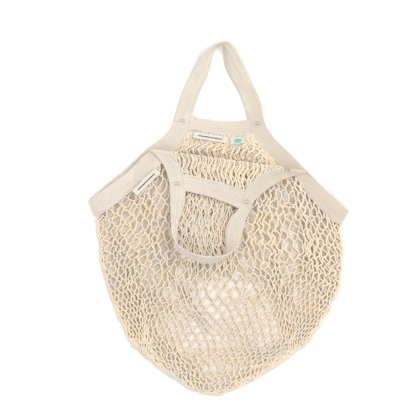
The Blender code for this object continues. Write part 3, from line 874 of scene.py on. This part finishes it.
def build_layer(sides, top, height, dome, ceiling, columns, rows, seed, base_spread=0.35, wander=0.0):
    """One layer of net between its sides and its top line. Returns its yarn lines, radii and rows.

    height is where its base lies, in millimetres. dome is how far it swells up from there, and ceiling is as
    high as it may reach. base_spread opens its columns out at the base, and wander is how far knots stray.
    """
    left, bottom, right = sides
    place, legs = lattice(columns, rows)
    u, v = place[:, 0], place[:, 1] ** CROWDING
    u = u - (1 - v) * base_spread * np.sin(TURN * u) / TURN
    knots = coons(bottom, top, left, right, u, v)
    stand = unit(coons(bottom, top, left, right, u, np.minimum(v + 0.01, 1))
                 - coons(bottom, top, left, right, u, np.maximum(v - 0.01, 0)))
    held = (v == 0) | (v == 1) | (u == 0) | (u == 1)
    shifted = disturb(knots, seed)
    stray = wander * (0.25 + slackness(knots))
    for axis in range(2):
        shifted[:, axis] += smooth_noise(knots, WANDER_SIZE, seed + 10 + axis) * stray
    free = np.clip(np.minimum.reduce([u * 6, (1 - u) * 6, v * 8, (1 - v) * 6]), 0, 1)
    knots = knots + (shifted - knots) * free[:, None]
    swell = np.sqrt(np.clip(16 * u * (1 - u) * v * (1 - v), 0, 1)) * (0.35 + 0.65 * v)
    relief = 0.25 + slackness(knots) * (0.75 + smooth_noise(knots, RELIEF_SIZE, seed + 3) * 0.3)
    knots[:, 2] = height * MM + (knots[:, 2] - height * MM) * (1 - free * (1 - v ** 3))
    knots[:, 2] += dome * swell * free * relief

    span = np.linalg.norm(knots[legs[:, 0]] - knots[legs[:, 1]], axis=1)
    loose = slackness((knots[legs[:, 0]] + knots[legs[:, 1]]) / 2)
    excess = np.random.default_rng(seed + 8).uniform(*EXCESS, len(legs))
    length = np.maximum(span * (1.01 + loose * excess), LEG * (0.7 + 0.3 * loose))
    bows = bow_points(knots, legs, seed + 4, 0.3 * MM + 1.0 * MM * loose)
    relax(knots, legs, bows, held, length)

    lines = leg_strands(knots, legs, bows, stand, seed + 5)
    flat = lines.reshape(-1, 3)
    drift = smooth_noise(flat, 90 * MM, DRIFT_SEED + 6)
    ripple = RIPPLE * np.clip(smooth_noise(flat, 110 * MM, DRIFT_SEED + 7) + 0.6, 0.1, 1)
    sway = ripple * slackness(flat) * np.sin(TURN * flat[:, 1] / RIPPLE_PITCH + 4 * drift)
    lines[..., 0] += sway.reshape(lines.shape[:2])
    radius = yarn_radius()[None, :] * (0.86 + 0.24 * loose)[:, None]
    lines[..., 2] = np.clip(lines[..., 2], np.minimum(radius, ceiling), ceiling)
    return lines, radius, np.round(place[legs[:, 0], 1] * rows).astype(int)


def fold_line(x_first, x_last, back, height):
    t = np.linspace(x_first, x_last, 9)
    return [(x, fold_y(x * MM) / MM - back, height) for x in t]


def add_yarns(name, strands, radius, body="bag", nodes=()):
    attach(tube_piece(name, strands, radius, COTTON), body, nodes)


def build_net():
    """Both layers of the bag, and the back layer between the fold and the back band."""
    columns = sum(FOLD_COLUMNS)
    half = NET_ROWS // 2
    for side, left, right, level, base, dome, ceiling, seed, wander in (
            ("front", FRONT_TOP_LEFT, FRONT_TOP_RIGHT, 10.8, 2.9, 4.0, 10.9, 101, 0.0),
            ("back", BACK_TOP_LEFT, BACK_TOP_RIGHT, 1.6, 1.6, 0.2, 1.9, 211, 3.0)):
        fold = line_of(fold_line(-60.0, 88.0, LOOP_BACK, level))
        top = joined([line_of(left), fold, line_of(right)], FOLD_COLUMNS)
        lines, radius, row = build_layer(outline(base), top, base, dome * MM, ceiling * MM, columns, NET_ROWS,
                                         seed, wander=wander * MM)
        add_yarns(side + "_net_lower", lines[row < half], radius[row < half], "bag", [f"net_{side}_panel"])
        add_yarns(side + "_net_upper", lines[row >= half], radius[row >= half])
    sides = line_of(MOUTH_LEFT), line_of(MOUTH_LOW), line_of(MOUTH_RIGHT)
    mouth, radius, _ = build_layer(sides, line_of(MOUTH_TOP), 1.3, 0.1 * MM, 1.3 * MM, 24, 7, 223, 0.0)
    add_yarns("back_net_mouth", mouth, radius)


def comb(count, path, wave, seed, lower=0.0):
    """Near-parallel yarns that follow path(share), a list of points, with waves and pinched pairs.

    wave is the sideways reach, the length of a wave and how far pairs are pinched. lower is how far down all
    of them are moved. All are in millimetres.
    """
    reach, pitch, pinch = metres(wave)
    rng = np.random.default_rng(seed)
    strands = []
    t = np.linspace(0, 1, COMB_POINTS)
    for k in range(count):
        share = np.clip((k + 0.5 + rng.normal(0, 0.12)) / count, 0.0, 1.0)
        line = by_length(metres(path(share)), t)
        run = distances(line)
        room = np.sin(math.pi * t) ** 0.5
        phase = TURN * run / pitch + 1.6 * math.sin(5 * share + seed)
        pair = np.sin(math.pi * run / PAIR_PITCH + math.pi * k) * pinch
        line[:, 0] += (reach * np.sin(phase) + pair + rng.normal(0, 0.3 * MM)) * room
        line[:, 2] += 0.3 * MM * np.sin(phase * 0.7 + k) * room - lower * MM
        strands.append(line)
    return np.array(strands)


def build_flap():
    """The top of the front net: yarns that loop over the fold and run down to the front band."""
    feet = np.array(FLAP_FOOT)

    def start(share):
        x = -59.0 + 136.0 * share
        return x, fold_y(x * MM) / MM

    def over_fold(share):
        x, fold = start(share)
        low = 0.88 * x - 1.0
        foot = np.array([low, np.interp(low, feet[:, 0], feet[:, 1]), 12.4])
        down = (foot - [x, fold, 0.0]) * [1.0, 1.0, 0.0]
        slope = [np.array([x, fold, 13.0]) + down * s for s in (0.35, 0.7)]
        return [(x, fold + 1.5, 12.0), (x, fold + 0.9, 12.8), (x, fold - 1.0, 13.0), *slope, foot]

    def below_fold(share):
        x, fold = start(share)
        return [(x, fold - 12.0, 10.0), (x, fold - 5.0, 10.7), (x, fold - 1.0, 10.9), (x, fold + 0.9, 11.2),
                (x, fold + 1.5, 12.0)]

    for name, path, body, nodes in (("flap_net", over_fold, "front_flap", ["net_front_flap"]),
                                    ("front_net_top", below_fold, "bag", [])):
        over = comb(24, path, (2.6, 31, 0.35), 301)
        under = comb(34, path, (2.2, 23, 0.9), 307, lower=1.3)
        strands = np.concatenate([over, under])
        strands[..., 2] = np.minimum(strands[..., 2], 13.4 * MM)
        radius = np.repeat([YARN * 1.25, YARN * 1.1], [len(over), len(under)])[:, None]
        add_yarns(name, strands, radius, body, nodes)


def build_gather():
    """Yarns of the front net drawn together below the middle of the mouth, in three depths."""
    def path(share):
        x = -47.0 + 61.0 * share
        uneven = 9.0 * math.sin(43.0 * share)
        return [(x + 4.0, 56.0 - uneven, 9.4), (x + 4.0, 27.0, 9.6), (x + 2.0, 8.0, 9.2), (x, -14.0, 8.6),
                (x + 0.5, -34.0, 8.0), (x + 3.0, -50.0, 7.0), (x + 4.0, -62.0 + uneven, 4.8)]

    strands = np.concatenate([comb(16, path, (1.8, 34, 1.15), 367),
                              comb(19, path, (1.8, 30, 0.9), 373, lower=1.9),
                              comb(17, path, (1.8, 26, 0.7), 379, lower=3.4)])
    add_yarns("front_net_gather", strands, YARN * 1.1)


def build_bunch():
    """Loose yarn bunched up under the back band."""
    edge = line_of(BUNCH_TOP)

    def path(share):
        x, y, z = edge(np.array([share]))[0] / MM
        return [(x, y, z), (x + 2.0, y - 8.0, 1.0), (x + 3.0, y - 14.0, 1.2), (x + 0.5, y - 17.0, 4.6),
                (x - 4.5, y - 22.0, 5.6), (x - 5.5, y - 26.5, 3.4), (x - 3.0, y - 32.0, 2.0)]

    over = comb(14, path, (2.4, 24, 0.3), 331)
    under = comb(19, path, (2.2, 14, 0.9), 337, lower=1.0)
    under[..., 2] = np.maximum(under[..., 2], 1.0 * MM)
    swelling = 0.8 + 0.55 * np.clip(np.linspace(-0.9, 1.6, COMB_POINTS), 0, 1)
    radius = YARN * np.repeat([swelling * 1.3, swelling * 0.9], [len(over), len(under)], axis=0)
    add_yarns("back_net_bunch", np.concatenate([over, under]), radius)


def build_cord():
    """Four loose yarns along the outline, where the two layers are sewn together."""
    left, bottom, right = outline(0.0)
    t = np.linspace(0, 1, 170)
    path = np.vstack([left(t)[::-1], bottom(np.linspace(0, 1, 330))[1:-1], right(t)])
    out = outwards(path)
    along = distances(path)
    strands = []
    for k, (gap, height, reach) in enumerate(((-0.2, 1.4, 1.5), (1.0, 2.2, 1.5), (0.1, 3.1, 1.5),
                                              (0.6, 1.8, 2.2))):
        sway = smooth_noise(np.stack([along, np.full(len(along), k * 0.3)], 1), 14 * MM, 400 + k)
        rise = smooth_noise(np.stack([along, along], 1), 12 * MM, 410 + k)
        line = path + out * (gap + sway * reach)[:, None] * MM
        line[:, 2] = (height + rise * 0.3) * MM
        strands.append(line)
    add_yarns("edge_cord_yarns", np.array(strands), YARN * 1.1, "bag", ["net_edge_cord"])


# ------ labels

def add_label(node, corners, curl, seed, material):
    """A woven label between four corners: held edge left and right, then free edge right and left.

    The corners are in millimetres, and so is curl, how far the free edge lifts.
    """
    low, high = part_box(node)
    height = (low.z + high.z) / 2 + LABEL_LIFT
    a, b, c, d = metres(corners)
    u = np.linspace(0, 1, LABEL_COLUMNS + 1)
    profile = np.linspace(0, 1, LABEL_ROWS + 1)
    across = np.concatenate([profile, profile[::-1]])
    side = np.repeat([1.0, -1.0], LABEL_ROWS + 1)
    uu, vv = np.meshgrid(u, across, indexing="ij")
    flat = ((1 - uu) * (1 - vv))[..., None] * a + (uu * (1 - vv))[..., None] * b \
        + (uu * vv)[..., None] * c + ((1 - uu) * vv)[..., None] * d
    rounding = np.sqrt(np.clip(1 - np.abs(2 * across - 1) ** 10, 0.0, 1))
    bend = curl * MM * vv ** 2 * (0.6 + 0.4 * np.sin(uu * 5 + seed))
    wave = smooth_noise(np.stack([uu.ravel() * 3, vv.ravel()], 1), 1.4, seed).reshape(uu.shape)
    z = height + side * LABEL_THICKNESS / 2 * (0.35 + 0.65 * rounding) + bend + 0.12 * MM * vv * wave
    vertices = np.concatenate([flat, z[..., None]], axis=2)
    attach(solid_strip(node + "_cloth", vertices, np.stack([uu, vv], -1), material), node, [node])


def build_labels():
    add_label("woven_label", [(-30, 103.6), (10.3, 96.8), (9.4, 89.4), (-31.4, 95.6)], 1.3, 1, LABEL)
    add_label("care_tag", [(13.6, 96.6), (32, 97.2), (30, 89.4), (13.4, 87.2)], 1.5, 2, TAG)
    add_label("side_label", [(-104.5, 32.2), (-76.5, 59.5), (-69.8, 53.5), (-98, 25.8)], 0.35, 3, LABEL)


# ------ floor, light, camera

FLOOR_SIZE = 12  # times the bag's length
FLOOR_COLOUR = (0.84, 0.825, 0.80, 1.0)
LIGHTS = [("key", (0.75, 0.60, 1.25), 0.7, 10.0), ("fill", (-0.9, -0.5, 1.5), 1.6, 4.0)]
WORLD_STRENGTH = 0.95
CAMERA_HEIGHT = 2.5
CAMERA_REACH = 2.49  # from the camera to the bag
CAMERA_ASIDE = (-0.0324, 0.0268)  # off the bag's centre, as shares of its length
VIEW_WIDTH = 1.1715  # how much the camera takes in, as a share of the bag's length
SENSOR = 36.0


def build_stage():
    """The floor, two soft lights, white surroundings and a camera above the bag."""
    centre = (CAD_BOX[0] + CAD_BOX[1]) / 2
    length = (CAD_BOX[1] - CAD_BOX[0]).y
    bpy.ops.mesh.primitive_plane_add(size=FLOOR_SIZE * length,
                                     location=(centre.x, centre.y, CAD_BOX[0].z - FLOOR_GAP))
    floor = bpy.context.object
    floor.name = "pale_floor"
    nodes = Nodes("pale_floor")
    nodes.put(nodes.shader, "Base Color", FLOOR_COLOUR)
    nodes.put(nodes.shader, "Roughness", 0.75)
    floor.data.materials.append(nodes.material)
    for name, place, width, power in LIGHTS:
        add_light(name, place, width, power, centre)
    world = bpy.data.worlds.new("studio")
    world.use_nodes = True
    background = world.node_tree.nodes["Background"]
    background.inputs["Color"].default_value = (1.0, 1.0, 1.0, 1.0)
    background.inputs["Strength"].default_value = WORLD_STRENGTH
    scene = bpy.context.scene
    scene.world = world
    scene.cycles.diffuse_bounces = 12
    scene.view_settings.view_transform = "Standard"
    lens = bpy.data.cameras.new("camera")
    lens.sensor_width = SENSOR
    lens.lens = SENSOR * CAMERA_REACH / (VIEW_WIDTH * length)
    camera = bpy.data.objects.new("camera", lens)
    aside_x, aside_y = CAMERA_ASIDE
    camera.location = (centre.x + aside_x * length, centre.y + aside_y * length, CAMERA_HEIGHT)
    scene.collection.objects.link(camera)
    scene.camera = camera


def add_light(name, place, width, power, aim):
    data = bpy.data.lights.new(name, "AREA")
    data.size = width
    data.energy = power
    light = bpy.data.objects.new(name, data)
    light.location = place
    light.rotation_euler = (Vector(aim) - Vector(place)).to_track_quat("-Z", "Y").to_euler()
    bpy.context.scene.collection.objects.link(light)


build_tapes()
build_tacks()
build_net()
build_flap()
build_gather()
build_bunch()
build_cord()
build_labels()
build_stage()
